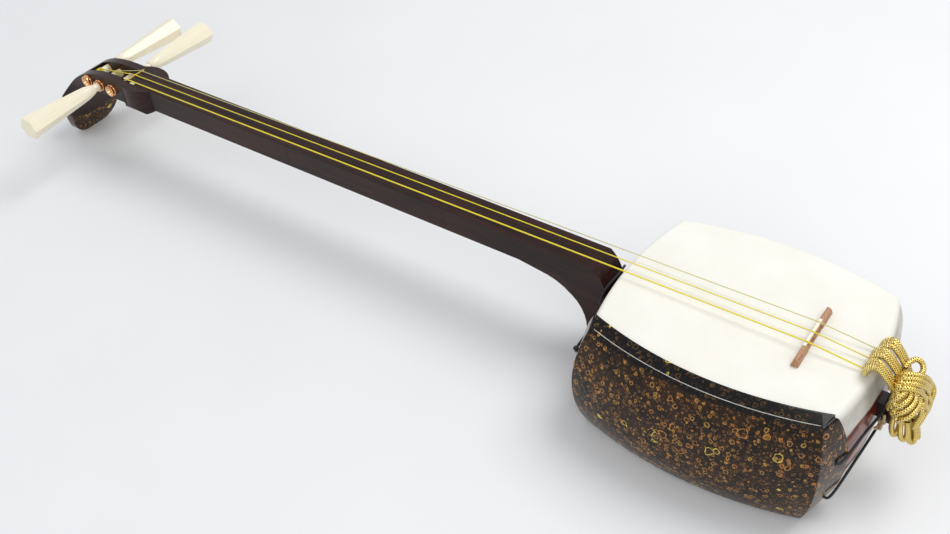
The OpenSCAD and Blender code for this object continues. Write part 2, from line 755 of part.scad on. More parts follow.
// Felt pad, as thick as the room in front of the body
felt_gap = 0.1;
felt_low = 20;
felt_high = 88;
felt_len = 140;
module dokake_lining() {
  color(felt)
    mirror([0, 1, 0]) intersection() {
      difference() {
        round_side() polygon(concat([[flange_r, felt_low]],
          [for (i = [0:12]) let (z = felt_low + (felt_high - felt_low) * i / 12)
            [bow_at(z, rest_t + felt_gap), z]],
          [[flange_r, felt_high]]));
        side_barrel(0.3, 0, flange_r - 6);
      }
      translate([-felt_len / 2, 60, felt_low - 1]) cube([felt_len, 80, felt_high - felt_low + 2]);
    }
}

// Cords that tie the arm rest on: head cord round the heel, tail cord round the spike
head_route = [[-115.8, -79, 69], [-120.4, -77, 69], [-121.9, -66, 68.5], [-123.4, -45, 67.5],
              [-125.6, -26, 67.5], [-129, -20, 76], [-125.2, -18.4, 91.5], [-123, 0, 95.6],
              [-125.8, 17.4, 91.5], [-131.6, 20.6, 77], [-134, 20, 58], [-134.2, 20, 34],
              [-134.8, 18.4, 25], [-135, 6, 22.6], [-130, -8, 22.8], [-123, -40, 23.5], [-119.6, -66, 24],
              [-117.2, -77.5, 24], [-113.2, -79, 24]];
tail_route = [[115.8, -79, 69], [120.4, -75, 69.2], [124.5, -45, 71], [130, -14.2, 75.5],
              [130, -5, 80.2], [130, 6, 79.9], [130.5, 11.6, 73], [130.5, 11.8, 61.4],
              [130, 0, 56.2], [124.5, -40, 39.5], [118.8, -75, 25], [113.2, -79, 24]];
cord_r = 1.2;
knot_r = 3.2;
module dokake_cord_head() { color(cord) tube(smooth(head_route), cord_r); }
module dokake_cord_tail() { color(cord) tube(smooth(tail_route), cord_r); }
module cord_knots() {
  color(cord) {
    for (hole_mouth = [[-120, -hole_y, hole_high], [-117.3, -hole_y, hole_low]])
      translate(hole_mouth) sphere(r = knot_r, $fn = 24);
  }
}

// Tail fitting: three cord loops that hold the strings, and the big flat knot
loop_fronts = [[112.5, -14, 115.5], [112.5, 0, 115.5], [115, 14, 115.5]];
loop_tops = [[116, -14, 120], [116, 0, 121], [120, 14, 121]];
loop_bends = [[129, -13, 109], [130, 0, 110], [132, 12, 110]];
loop_feet = [[138, -9, 95], [139, 0, 96], [141, 8, 96]];
module neo_loops() {
  color(gold)
    for (i = [0:2]) {
      hull() {
        translate(loop_fronts[i]) sphere(r = 6, $fn = 24);
        translate(loop_tops[i]) sphere(r = 6.6, $fn = 24);
        translate(loop_bends[i]) sphere(r = 6.4, $fn = 24);
      }
      hull() {
        translate(loop_bends[i]) sphere(r = 6.4, $fn = 24);
        translate(loop_feet[i]) sphere(r = 6, $fn = 24);
      }
    }
}
module neo_knot() {
  color(gold)
    hull() {
      translate([147, 0, 87]) rotate([0, 76, -8]) cylinder(r = 28, h = 11, center = true, $fn = 32);
      translate([148, 0, 86]) rotate([0, 76, -8]) cylinder(r = 22, h = 19, center = true, $fn = 32);
      translate([152, 0, 51]) rotate([0, 84, 0]) cylinder(r = 13, h = 11, center = true, $fn = 32);
    }
}
module neo_tie() {
  color(cotton)
    translate([131, -13.4, 62]) sphere(r = 4, $fn = 24);
}

tenjin();
tenjin_cap();
kamigoma();
kami_zao();
naka_zao();
shimo_zao();
upper_joint_sleeve();
lower_joint_sleeve();
sawari_plate();
sawari_screw();
sawari_bush();
zagane_1();
zagane_2();
zagane_3();
peg_1();
peg_2();
peg_3();
winding_1();
winding_2();
winding_3();
board_near();
board_far();
board_head();
board_tail();
front_skin();
back_skin();
dokake();
dokake_lining();
dokake_cord_head();
dokake_cord_tail();
cord_knots();
koma_base();
koma_saddle();
string_1();
string_2();
string_3();
neo_loops();
neo_knot();
neo_tie();
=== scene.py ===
import math

import bmesh
import bpy
from mathutils import Matrix, Vector


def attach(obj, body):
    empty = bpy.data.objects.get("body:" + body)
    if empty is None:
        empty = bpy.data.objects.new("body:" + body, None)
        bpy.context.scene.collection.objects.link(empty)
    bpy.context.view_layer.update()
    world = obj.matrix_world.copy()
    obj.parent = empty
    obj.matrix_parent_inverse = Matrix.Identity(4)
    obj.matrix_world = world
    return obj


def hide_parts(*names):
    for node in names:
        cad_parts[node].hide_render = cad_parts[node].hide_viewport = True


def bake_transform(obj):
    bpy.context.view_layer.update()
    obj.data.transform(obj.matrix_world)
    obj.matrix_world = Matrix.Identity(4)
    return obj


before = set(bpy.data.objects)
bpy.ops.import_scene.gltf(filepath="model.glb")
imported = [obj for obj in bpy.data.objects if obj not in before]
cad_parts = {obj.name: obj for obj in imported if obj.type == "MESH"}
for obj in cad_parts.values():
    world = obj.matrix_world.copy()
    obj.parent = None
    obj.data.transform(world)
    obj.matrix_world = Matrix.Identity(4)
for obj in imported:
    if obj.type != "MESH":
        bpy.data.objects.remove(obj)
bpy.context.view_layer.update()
MM = 0.001

# ---- sizes shared with the CAD source, in millimetres ----
BODY_DEPTH = 109.0
MID_Z = BODY_DEPTH / 2
EDGE_R = 5.0
BARREL_R = 135.0
SKIN_WRAP = 27.0
HALF_LEN, HALF_WID, SIDE_BOW, END_BOW = 110.5, 98.4, 15.5, 11.5
CORNER_X, CORNER_Y = HALF_LEN - END_BOW, HALF_WID - SIDE_BOW
SIDE_R = (CORNER_X ** 2 + SIDE_BOW ** 2) / (2 * SIDE_BOW)
END_R = (CORNER_Y ** 2 + END_BOW ** 2) / (2 * END_BOW)
SIDE_AXIS, END_AXIS = HALF_WID - SIDE_R, HALF_LEN - END_R
TOUCH = math.asin((MID_Z - EDGE_R) / (BARREL_R - EDGE_R))

BOARD_Z = 106.4
NUT_X = -764.2
NECK_END_X = -140.2
SLOT_Y, CHEEK_Y = 10.5, 20.5
PEG_Z = BOARD_Z - 15
PEG_X = [NUT_X - 23, NUT_X - 65, NUT_X - 44]
PEG_SIDE = [1, 1, -1]
PEG_OUT = [13, 0, 6]
PEG_TURN = [30, 12, 30]
PEG_BODY = ["peg_first", "peg_second", "peg_third"]
SHAFT_R, SHAFT_R2 = 4.6, 4.0
HANDLE_LEN, HANDLE_W, HANDLE_W0 = 95.0, 28.0, 17.0

STRING_D = [1.4, 1.1, 0.9]
WINDING_Y = [-6, -2, 4]
NUT_ROW = [-12.6, -0.68, 9.6]
BRIDGE_ROW = [-13.4, 0, 13.4]
NUT_H = 1.4
BRIDGE_X = 58.5
SADDLE_Z = BODY_DEPTH + 8
# How deep a string sits in the nut and in the bridge
STRING_SEAT = 0.28
# How far along from the nut to the bridge two more points of a string are
NEAR_SHARE, NECK_END_SHARE = 0.19, 0.76
TAIL_LOOP_X, TAIL_LOOP_RISE = 113, 2.2

HEAD_ROUTE = [(-115.8, -79, 69), (-120.4, -77, 69), (-121.9, -66, 68.5), (-123.4, -45, 67.5),
              (-125.6, -26, 67.5), (-129, -20, 76), (-125.2, -18.4, 91.5), (-123, 0, 95.6),
              (-125.8, 17.4, 91.5), (-131.6, 20.6, 77), (-134, 20, 58), (-134.2, 20, 34),
              (-134.8, 18.4, 25), (-135, 6, 22.6), (-130, -8, 22.8), (-123, -40, 23.5),
              (-119.6, -66, 24), (-117.2, -77.5, 24), (-113.2, -79, 24)]
TAIL_ROUTE = [(115.8, -79, 69), (120.4, -75, 69.2), (124.5, -45, 71), (130, -14.2, 75.5),
              (130, -5, 80.2), (130, 6, 79.9), (130.5, 11.6, 73), (130.5, 11.8, 61.4),
              (130, 0, 56.2), (124.5, -40, 39.5), (118.8, -75, 25), (113.2, -79, 24)]
CORD_R = 1.2
HOLE_MOUTHS = [(-120, -79, 69), (-117.3, -79, 24)]
TIE_PLACE = (131, -13.4, 62)

# Tail loops: the middle line of each loop, over its top and down to the knot
LOOPS = [
    [(109.5, -14, 112), (110.5, -14, 119), (116, -14, 122.5), (122.5, -13.6, 118),
     (129, -13, 110), (134, -11, 102), (139, -9, 95)],
    [(109.5, 0, 112), (110.5, 0, 120), (116, 0, 123.5), (123, 0, 119),
     (130, 0, 111), (135, 0, 103), (140, 0, 96)],
    [(112, 14, 112), (113, 14, 120), (119.5, 14, 123.5), (126.5, 13, 118),
     (132, 12, 111), (137, 10, 103), (142, 8, 96)],
]
# Strands of the flat knot, on its tail side
KNOT_STRANDS = {
    "ring": [(134, 5.5, 111.5), (135, 9.5, 114), (138.5, 15, 115), (143.5, 16.5, 112.5),
             (146.5, 13, 108.5), (145.5, 8, 107)],
    "top_a": [(130.5, -9.5, 105), (131.5, -2, 107.5), (136, -3, 113), (142.5, -1, 114),
              (149.5, 6, 109.5), (153.5, 15, 98), (155, 20.5, 87)],
    "top_b": [(131, -12, 102), (131.5, -4.5, 105), (137.5, -8.5, 113), (144, -5, 113.5),
              (150.5, 1.5, 108.5), (154, 10, 97.5), (155.5, 18.5, 84)],
    "top_c": [(130.5, -14.5, 101), (133, -10, 105), (138.5, -12.5, 112), (145, -9.5, 112.5),
              (151.5, -2.5, 107), (155, 4.5, 97.5), (156, 11.5, 84.5)],
    "top_d": [(132.5, -13, 100), (136, -16, 107), (141, -15.5, 111), (146, -13, 110.5),
              (151.5, -7.5, 105), (155, -1.5, 95.5), (156, 3, 86)],
    "low_a": [(143, -11.5, 109), (142, -17, 107.5), (139, -21.5, 104), (135.5, -22.5, 97.5),
              (134, -20.5, 89), (137.5, -19, 84)],
    "low_b": [(145, -11.5, 107.5), (146.5, -16.5, 104.5), (144.5, -22.5, 102), (141, -25, 98),
              (137.5, -23, 90), (139, -21, 83.5)],
    "low_c": [(148.5, -10, 104.5), (150.5, -14, 101), (149.5, -20.5, 98.5), (146, -25, 95.5),
              (142, -25.5, 90.5), (142.5, -22, 83)],
    "low_d": [(152, -7, 100), (154, -11, 95), (153, -18.5, 92.5), (150, -23.5, 89.5),
              (145.5, -24.5, 85.5), (144.5, -21.5, 79)],
    "right_a": [(153, 16, 97), (156, 21.5, 87.5), (158, 20.5, 82), (158.5, 16, 76.5),
                (158, 11, 71), (156, 8, 64)],
    "right_b": [(155.5, 5, 91.5), (157.5, 10, 84.5), (158.8, 12.5, 76.5), (158.6, 10, 70),
                (157, 6.5, 63)],
    "right_c": [(154.5, -2.5, 91.5), (157.5, -0.5, 86), (158.6, 4.5, 76), (158, 1, 69.5),
                (156.5, -1.5, 62)],
    "right_d": [(154, -3.5, 91), (156, -6.5, 88), (157.2, -7.5, 81), (156, -9.5, 74),
                (155, -9.5, 66)],
    "lobe_a": [(138.5, -9.5, 72), (139, -12.5, 63), (141, -14, 56.5), (143, -13.5, 54),
               (144.5, -11, 57), (144, -8.5, 68)],
    "lobe_b": [(143, -5.5, 72), (146, -12, 61), (148.5, -13.5, 54), (151, -12, 51.5),
               (152, -9.5, 55), (149, -7.5, 68)],
    "lobe_c": [(148, -4.5, 70), (151.5, -8.5, 58), (154, -8, 49), (157, -5, 44.5),
               (157.5, -2, 49), (153, -1, 66)],
    "lobe_d": [(152, 1, 68), (155.5, 1.5, 58), (158, 3.5, 49), (159, 5, 42),
               (157.5, 6, 47), (154, 4.5, 62)],
}


# ---- mesh helpers ----
def smooth_path(points, steps=8):
    """Points of a smooth line through given points."""
    p = [Vector(q) for q in points]
    out = []
    for i in range(len(p) - 1):
        a, b, c, d = p[max(i - 1, 0)], p[i], p[i + 1], p[min(i + 2, len(p) - 1)]
        for j in range(steps):
            t = j / steps
            out.append(0.5 * (2 * b + t * (c - a) + t * t * (2 * a - 5 * b + 4 * c - d)
                              + t ** 3 * (3 * b - a - 3 * c + d)))
    out.append(p[-1])
    return out


def carried_frames(path):
    """Direction and two cross directions at each point, turning as little as possible."""
    frames = []
    side = None
    for i, point in enumerate(path):
        ahead = path[min(i + 1, len(path) - 1)] - path[max(i - 1, 0)]
        ahead.normalize()
        if side is None:
            helper = Vector((1, 0, 0)) if abs(ahead.z) > 0.9 else Vector((0, 0, 1))
            side = ahead.cross(helper).normalized()
        side = (side - ahead * side.dot(ahead)).normalized()
        frames.append((ahead, side, ahead.cross(side)))
    return frames


def add_mesh(name, verts, faces, mat, uvs=None):
    """One object from millimetre vertices; uvs is one pair per face corner."""
    mesh = bpy.data.meshes.new(name)
    mesh.from_pydata([Vector(v) * MM for v in verts], [], faces)
    if uvs:
        layer = mesh.uv_layers.new(name="along")
        for i, uv in enumerate(uvs):
            layer.data[i].uv = uv
    mesh.polygons.foreach_set("use_smooth", [True] * len(mesh.polygons))
    mesh.materials.append(mat)
    outward = bmesh.new()
    outward.from_mesh(mesh)
    bmesh.ops.recalc_face_normals(outward, faces=outward.faces)
    outward.to_mesh(mesh)
    outward.free()
    mesh.update()
    obj = bpy.data.objects.new(name, mesh)
    bpy.context.scene.collection.objects.link(obj)
    return obj


class Lofts:
    """Rows of points joined into one mesh, several lofts to an object."""

    def __init__(self):
        self.verts, self.faces, self.uvs = [], [], []

    def loft(self, rows, lengths=None, caps=True):
        """Closed rows of equal count, joined; lengths are the distances along, kept as UVs."""
        n, base = len(rows[0]), len(self.verts)
        lengths = lengths or list(range(len(rows)))
        for row in rows:
            self.verts.extend(row)
        for i in range(len(rows) - 1):
            for k in range(n):
                a, b = base + i * n + k, base + i * n + (k + 1) % n
                self.faces.append((a, b, b + n, a + n))
                u0, u1, v0, v1 = lengths[i], lengths[i + 1], k / n, (k + 1) / n
                self.uvs += [(u0, v0), (u0, v1), (u1, v1), (u1, v0)]
        if caps:
            for row, flip in ((0, True), (len(rows) - 1, False)):
                face = [base + row * n + k for k in range(n)]
                self.faces.append(tuple(reversed(face)) if flip else tuple(face))
                self.uvs += [(lengths[row], 0.0)] * n
        return self

    def tube(self, path, radius, sides=10):
        """A round tube along path; radius is a number, or a function of the share of the way."""
        rows, lengths, run = [], [], 0.0
        for i, (point, (_, u, v)) in enumerate(zip(path, carried_frames(path))):
            r = radius(i / (len(path) - 1)) if callable(radius) else radius
            rows.append([point + r * (math.cos(2 * math.pi * k / sides) * u
                                      + math.sin(2 * math.pi * k / sides) * v)
                         for k in range(sides)])
            if i:
                run += (point - path[i - 1]).length
            lengths.append(run)
        return self.loft(rows, lengths)

    def made(self, name, mat):
        """The object that holds all the lofts so far."""
        return add_mesh(name, self.verts, self.faces, mat, self.uvs)


def piece(obj, body, slot, *nodes):
    """Hides the CAD nodes a finished piece takes the place of, and hangs it under its body."""
    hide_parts(*nodes)
    if body:
        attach(obj, body)
    return obj


# ---- material helpers ----
class Surface:
    """A material and the nodes that feed its shader."""

    def __init__(self, name, rough=0.4, metal=0.0, coat=0.0, coat_rough=0.1):
        self.mat = bpy.data.materials.new(name)
        self.mat.use_nodes = True
        self.tree = self.mat.node_tree
        self.shader = self.tree.nodes["Principled BSDF"]
        self.set(self.shader, {"Roughness": rough, "Metallic": metal,
                               "Coat Weight": coat, "Coat Roughness": coat_rough})

    def set(self, node, inputs):
        for key, value in inputs.items():
            if isinstance(value, bpy.types.NodeSocket):
                self.tree.links.new(value, node.inputs[key])
            else:
                node.inputs[key].default_value = value
        return node

    def add(self, kind, inputs=None, **props):
        node = self.tree.nodes.new(kind)
        for key, value in props.items():
            setattr(node, key, value)
        return self.set(node, inputs or {})

    def place(self, scale=(1, 1, 1), uv=False):
        source = self.add("ShaderNodeTexCoord").outputs["UV" if uv else "Object"]
        return self.add("ShaderNodeMapping", {"Vector": source, "Scale": scale}).outputs[0]

    def noise(self, scale, stretch=(1, 1, 1), detail=4.0, rough=0.55):
        return self.add("ShaderNodeTexNoise", {"Vector": self.place(stretch), "Scale": scale,
                                               "Detail": detail, "Roughness": rough}).outputs["Fac"]

    def math(self, operation, a, b=0.0, clamp=False):
        return self.add("ShaderNodeMath", {0: a, 1: b}, operation=operation,
                        use_clamp=clamp).outputs[0]

    def span(self, value, low, high, to_low=0.0, to_high=1.0):
        return self.add("ShaderNodeMapRange", {"Value": value, "From Min": low, "From Max": high,
                                               "To Min": to_low, "To Max": to_high}).outputs[0]

    def mix(self, fac, a, b):
        node = self.add("ShaderNodeMix", data_type="RGBA")
        for socket, value in ((node.inputs[0], fac), (node.inputs[6], a), (node.inputs[7], b)):
            if isinstance(value, bpy.types.NodeSocket):
                self.tree.links.new(value, socket)
            else:
                socket.default_value = value
        return node.outputs[2]

    def height(self):
        position = self.add("ShaderNodeTexCoord").outputs["Object"]
        return self.add("ShaderNodeSeparateXYZ", {"Vector": position}).outputs["Z"]

    def bump(self, height, strength=0.3, distance=0.0003):
        self.set(self.shader, {"Normal": self.add("ShaderNodeBump", {
            "Height": height, "Strength": strength, "Distance": distance}).outputs[0]})
        return self

    def color(self, value):
        self.set(self.shader, {"Base Color": value})
        return self

    def rings(self, scale, share, wobble, wide):
        """Irregular closed rings, each with a size of its own: (mask, a random value per ring)."""
        here = self.place()
        drift = self.add("ShaderNodeTexNoise", {"Vector": here, "Scale": scale * 1.7,
                                                "Detail": 2.0}).outputs["Color"]
        moved = self.add("ShaderNodeVectorMath", {0: drift, 1: (wobble / scale,) * 3},
                         operation="MULTIPLY").outputs[0]
        moved = self.add("ShaderNodeVectorMath", {0: here, 1: moved}, operation="ADD").outputs[0]
        cells = self.add("ShaderNodeTexVoronoi", {"Vector": moved, "Scale": scale})
        parts = self.add("ShaderNodeSeparateColor", {"Color": cells.outputs["Color"]})
        size = self.span(parts.outputs[0], 0, 1, 0.12, 0.4)
        off = self.math("ABSOLUTE", self.math("SUBTRACT", cells.outputs["Distance"], size))
        ring = self.span(off, wide, wide * 0.3)
        kept = self.math("LESS_THAN", parts.outputs[1], share)
        return self.math("MULTIPLY", ring, kept), parts.outputs[2]


def rgb(*c):
    return (*c, 1.0)


def wood(name, dark, light, rough, coat, grain=(7, 260, 260)):
    """Fibres along X, with slow clouds of tone."""
    s = Surface(name, rough, coat=coat, coat_rough=0.08)
    s.set(s.shader, {"Specular IOR Level": 0.2})
    fibre = s.noise(1.0, grain, 5.0, 0.65)
    cloud = s.noise(14.0, (1, 3, 3), 3.0)
    s.color(s.mix(s.span(s.math("ADD", fibre, s.math("MULTIPLY", cloud, 0.6)), 0.62, 1.0),
                  rgb(*dark), rgb(*light)))
    return s.bump(s.noise(1.0, (60, 2200, 2200), 3.0), 0.12, 0.0002).mat


def metal(name, tint, rough):
    """Polished metal, worn unevenly."""
    s = Surface(name, rough, metal=1.0)
    wear = s.noise(420.0, detail=5.0)
    s.color(s.mix(s.span(wear, 0.3, 0.75), rgb(*(c * 0.9 for c in tint)), rgb(*tint)))
    s.set(s.shader, {"Roughness": s.span(wear, 0.2, 0.8, rough * 0.7, rough * 1.6)})
    return s.bump(s.noise(2600.0, (1, 0.15, 1)), 0.02, 0.0001).mat


def lacquer(name, side_low, side_high):
    """Black gloss with metal-leaf rings: dense and brown below side_low, sparse gold above."""
    s = Surface(name, 0.22, coat=0.22, coat_rough=0.03)
    s.set(s.shader, {"Specular IOR Level": 0.12})
    side = s.span(s.height(), side_low, side_high, 1.0, 0.0)
    big, pick = s.rings(95.0, 0.2, 0.6, 0.05)
    mid, pick_mid = s.rings(175.0, 0.75, 0.6, 0.09)
    small, pick_small = s.rings(330.0, 0.8, 0.5, 0.12)
    dust = s.span(s.noise(800.0, detail=5.0, rough=0.7), 0.54, 0.68)
    haze = s.span(s.noise(60.0, detail=4.0), 0.36, 0.6)
    base = s.mix(s.math("MULTIPLY", side, s.math("MULTIPLY", haze, 0.55)),
                 rgb(0.004, 0.0035, 0.004), rgb(0.045, 0.021, 0.009))
    base = s.mix(s.math("MULTIPLY", side, s.math("MULTIPLY", dust, 0.75)), base,
                 rgb(0.16, 0.085, 0.03))
    base = s.mix(s.math("MULTIPLY", small, s.span(side, 0, 1, 0.12, 0.8)), base,
                 s.mix(pick_small, rgb(0.17, 0.07, 0.02), rgb(0.28, 0.14, 0.045)))
    base = s.mix(s.math("MULTIPLY", mid, s.span(side, 0, 1, 0.2, 0.95)), base,
                 s.mix(pick_mid, rgb(0.4, 0.15, 0.035), rgb(0.42, 0.24, 0.06)))
    base = s.mix(big, base, s.mix(s.math("GREATER_THAN", pick, 0.5),
                                  rgb(0.5, 0.22, 0.045), rgb(0.66, 0.5, 0.09)))
    s.color(base)
    return s.mat


def ivory(name, tint, shade):
    """Pale, faintly banded along Y, which is the pegs' axis."""
    s = Surface(name, 0.3, coat=0.25, coat_rough=0.2)
    s.set(s.shader, {"Subsurface Weight": 0.04, "Subsurface Scale": 0.002})
    grain = s.noise(1.0, (420, 26, 420), 4.0, 0.6)
    s.color(s.mix(s.span(grain, 0.2, 0.62), rgb(*shade), rgb(*tint)))
    return s.bump(s.noise(1.0, (900, 60, 900)), 0.06, 0.0001).mat


def hide(name):
    """Pale skin, darker grey where it is drawn down the side, which is painted shade with smudges
    in it, stained by glue at its edge.
    """
    face_edge, rim_full, glue_start, glue_full = 0.0515, 0.046, 0.0305, 0.0275
    s = Surface(name, 0.52)
    s.set(s.shader, {"Subsurface Weight": 0.05, "Subsurface Scale": 0.003})
    up = s.math("ABSOLUTE", s.math("SUBTRACT", s.height(), MID_Z * MM))
    # Painted shade: the skin is coloured darker from the face's edge down the side wall
    wrap = s.span(up, face_edge, rim_full)
    face = s.mix(s.span(s.noise(26.0, detail=5.0), 0.35, 0.7),
                 rgb(0.78, 0.765, 0.69), rgb(0.82, 0.805, 0.74))
    smudge = s.span(s.noise(34.0, (1, 1, 2.2), 6.0, 0.65), 0.45, 0.72)
    # Both rim greys are painted shade of the side wall; the noise between them is smudging
    rim = s.mix(smudge, rgb(0.53, 0.515, 0.465), rgb(0.38, 0.365, 0.32))
    specks = s.span(s.noise(380.0, detail=3.0), 0.68, 0.76)
    rim = s.mix(s.math("MULTIPLY", specks, 0.5), rim, rgb(0.3, 0.26, 0.2))
    glue = s.span(up, glue_start, glue_full)
    rim = s.mix(s.math("MULTIPLY", glue, 0.55), rim, rgb(0.42, 0.34, 0.24))
    s.color(s.mix(wrap, face, rim))
    pebble = s.math("ADD", s.noise(950.0, detail=3.0), s.math("MULTIPLY", s.noise(260.0), 0.6))
    return s.bump(pebble, 0.22, 0.0002).mat


def speckled(name):
    """Bamboo striped along Y, with dark dots."""
    s = Surface(name, 0.45, coat=0.15)
    stripe = s.span(s.noise(1.0, (700, 30, 700), 4.0), 0.35, 0.7)
    base = s.mix(stripe, rgb(0.33, 0.15, 0.065), rgb(0.55, 0.3, 0.15))
    dots = s.span(s.noise(900.0, (1, 0.5, 1), 3.0), 0.56, 0.68)
    base = s.mix(s.math("MULTIPLY", dots, 0.85), base, rgb(0.16, 0.07, 0.03))
    s.color(base)
    return s.bump(dots, 0.15, 0.0001).mat


def laid_cord(name, tint, shade, rough, metal_share, pitch, strands, both_ways=True):
    """Cord with strands laid round it: pitch in millimetres along it, strands round it."""
    s = Surface(name, rough, metal=metal_share)
    uv = s.add("ShaderNodeSeparateXYZ", {"Vector": s.place(uv=True)})
    along = s.math("MULTIPLY", uv.outputs["X"], 2 * math.pi / pitch)
    round_it = s.math("MULTIPLY", uv.outputs["Y"], 2 * math.pi * strands)
    lay = s.math("SINE", s.math("ADD", along, round_it))
    if both_ways:
        lay = s.math("MAXIMUM", lay, s.math("SINE", s.math("SUBTRACT", along, round_it)))
    fuzz = s.math("MULTIPLY", s.noise(3200.0, detail=3.0), 0.5)
    # Painted shade: the grooves between strands take the shade colour, and the crowns take the tint
    s.color(s.mix(s.span(lay, -0.7, 0.8), rgb(*shade), rgb(*tint)))
    return s.bump(s.math("ADD", lay, fuzz), 0.55, 0.0003).mat


def felt(name):
    s = Surface(name, 0.95)
    fuzz = s.noise(1800.0, detail=6.0)
    s.color(s.mix(fuzz, rgb(0.16, 0.018, 0.024), rgb(0.3, 0.05, 0.055)))
    return s.bump(fuzz, 0.8, 0.0006).mat


ROSEWOOD = wood("rosewood", (0.009, 0.0022, 0.0018), (0.037, 0.0085, 0.0066), 0.33, 0.12)
QUINCE = wood("quince_wood", (0.085, 0.009, 0.004), (0.22, 0.034, 0.012), 0.28, 0.3,
              (12, 160, 160))
LACQUER = lacquer("flecked_lacquer", 0.1064, 0.1078)
CAP_LACQUER = lacquer("flecked_lacquer_head", 0.2, 0.3)
GOLD = metal("gold_metal", (0.9, 0.6, 0.2), 0.2)
COPPER = metal("copper_metal", (0.95, 0.56, 0.29), 0.14)
IVORY = ivory("ivory", (0.9, 0.83, 0.64), (0.84, 0.75, 0.54))
SKIN = hide("skin")
BAMBOO = speckled("bamboo")
SILK = laid_cord("silk_string", (0.95, 0.82, 0.03), (0.74, 0.56, 0.02), 0.38, 0.0, 2.4, 2, False)
PALE_SILK = laid_cord("silk_string_thin", (0.78, 0.73, 0.3), (0.58, 0.52, 0.18), 0.4, 0.0, 2.0, 2,
                      False)
BRAID = laid_cord("gold_braid", (0.95, 0.73, 0.22), (0.13, 0.07, 0.01), 0.22, 0.9, 1.9, 4)
FINE_BRAID = laid_cord("gold_braid_fine", (1.0, 0.82, 0.34), (0.2, 0.11, 0.02), 0.2, 0.9, 1.1, 3)
BLACK_CORD = laid_cord("black_cord", (0.018, 0.018, 0.021), (0.004, 0.004, 0.005), 0.5, 0.0, 1.4,
                       6)
COTTON = laid_cord("cotton", (0.62, 0.47, 0.26), (0.42, 0.29, 0.14), 0.8, 0.0, 1.6, 3, False)
FELT = felt("felt")


# ---- CAD pieces kept: a better material, and eased edges where they are crisp ----
WELD_M = 0.00001
EASE_ABOVE_DEG = 32
# Material, and the width in millimetres that its edges are eased by
KEPT = {
    "tenjin": (ROSEWOOD, 0.6), "tenjin_cap": (CAP_LACQUER, 0.5), "kamigoma": (GOLD, 0.2),
    "kami_zao": (ROSEWOOD, 0.45), "naka_zao": (ROSEWOOD, 0.45), "shimo_zao": (ROSEWOOD, 0.45),
    "upper_joint_sleeve": (GOLD, 0), "lower_joint_sleeve": (GOLD, 0),
    "sawari_plate": (IVORY, 0.3), "sawari_screw": (GOLD, 0.2), "sawari_bush": (COPPER, 0),
    "zagane_1": (COPPER, 0), "zagane_2": (COPPER, 0), "zagane_3": (COPPER, 0),
    "board_near": (QUINCE, 0), "board_far": (QUINCE, 0),
    "board_head": (QUINCE, 0), "board_tail": (QUINCE, 0),
    "dokake": (LACQUER, 0.25), "dokake_lining": (FELT, 0),
    "koma_base": (BAMBOO, 0.35), "koma_saddle": (IVORY, 0.15),
}
for node, (mat, ease) in KEPT.items():
    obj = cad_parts[node]
    for material_slot in obj.material_slots:
        material_slot.material = mat
    if ease:
        weld = obj.modifiers.new("weld", "WELD")
        weld.merge_threshold = WELD_M
        bevel = obj.modifiers.new("ease", "BEVEL")
        bevel.width = ease * MM
        bevel.segments = 2
        bevel.limit_method = "ANGLE"
        bevel.angle_limit = math.radians(EASE_ABOVE_DEG)
        obj.modifiers.new("shade", "WEIGHTED_NORMAL")


# ---- skins ----
SKIN_AROUND = 480
FACE_RINGS, EDGE_STEPS, RIM_STEPS = 30, 6, 12
# The hand-cut lower edge, as waves: height, count round the body, phase
CUT_WAVES = [(0.9, 9, 1), (0.6, 23, 0), (0.5, 41, 2)]
CUT_LIFT = 1.2
# The cut edge turns in to the boards by this share
EDGE_TURN_IN = 0.9925


def outline(grow, turn, blunt=1.3):
    """Reach of the body's plan at an angle, its corners blunted."""
    c, s = abs(math.cos(turn)), abs(math.sin(turn))
    side = s * SIDE_AXIS + math.sqrt((s * SIDE_AXIS) ** 2 - SIDE_AXIS ** 2 + (SIDE_R + grow) ** 2)
    end = c * END_AXIS + math.sqrt((c * END_AXIS) ** 2 - END_AXIS ** 2 + (END_R + grow) ** 2)
    low = min(side, end)
    return low - blunt * math.log(math.exp((low - side) / blunt) + math.exp((low - end) / blunt))


